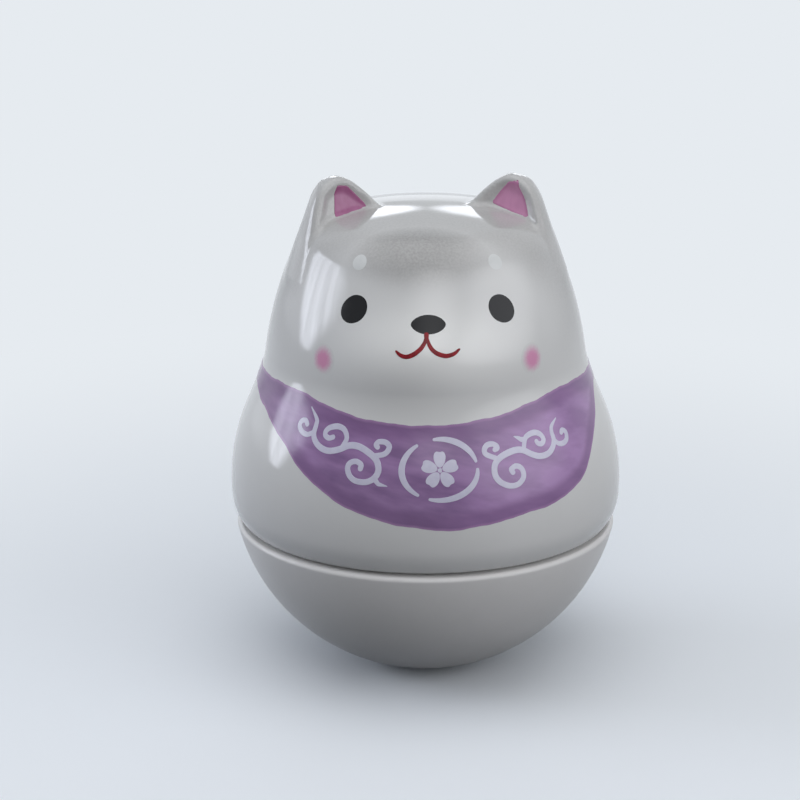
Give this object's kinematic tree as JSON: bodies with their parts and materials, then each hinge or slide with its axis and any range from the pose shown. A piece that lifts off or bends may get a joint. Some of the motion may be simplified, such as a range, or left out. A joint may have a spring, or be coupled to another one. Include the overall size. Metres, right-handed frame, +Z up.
{
  "type": "roly-poly dog figurine",
  "caption": "Self-righting dog figurine: hollow glazed ceramic body with ears, painted face and bib, on a weighted ball-shaped bowl.",
  "frame": {"origin": "middle of the flat land under the bowl, on the surface that the figure stands on", "axes": "+Z up along the axis of the ball and the head, -Y out of the face, +X to the right as the face is seen"},
  "size_m": [0.05, 0.0503, 0.0642],
  "materials": {
    "glaze": "polished",
    "bowl_plastic": "satin",
    "ballast_iron": "matte",
    "fastener_steel": "satin",
    "adhesive": "satin",
    "pink_enamel": "gloss",
    "black_enamel": "gloss",
    "white_enamel": "gloss",
    "blush_enamel": "gloss",
    "red_enamel": "gloss",
    "purple_enamel": "gloss"
  },
  "bodies": {
    "root": {"body_shell": "glaze", "base_bowl": "bowl_plastic", "ballast_weight": "ballast_iron", "weight_washer": "fastener_steel", "weight_screw": "fastener_steel", "glue_bead": "adhesive", "inner_ear_left": "pink_enamel", "inner_ear_right": "pink_enamel", "eye_left": "black_enamel", "eye_right": "black_enamel", "brow_left": "white_enamel", "brow_right": "white_enamel", "cheek_left": "blush_enamel", "cheek_right": "blush_enamel", "nose": "black_enamel", "mouth": "red_enamel", "bib": "purple_enamel", "scroll_left": "white_enamel", "scroll_right": "white_enamel", "ring_arc_left": "white_enamel", "ring_arc_low": "white_enamel", "ring_arc_high": "white_enamel", "blossom": "white_enamel"}
  },
  "joints": []
}
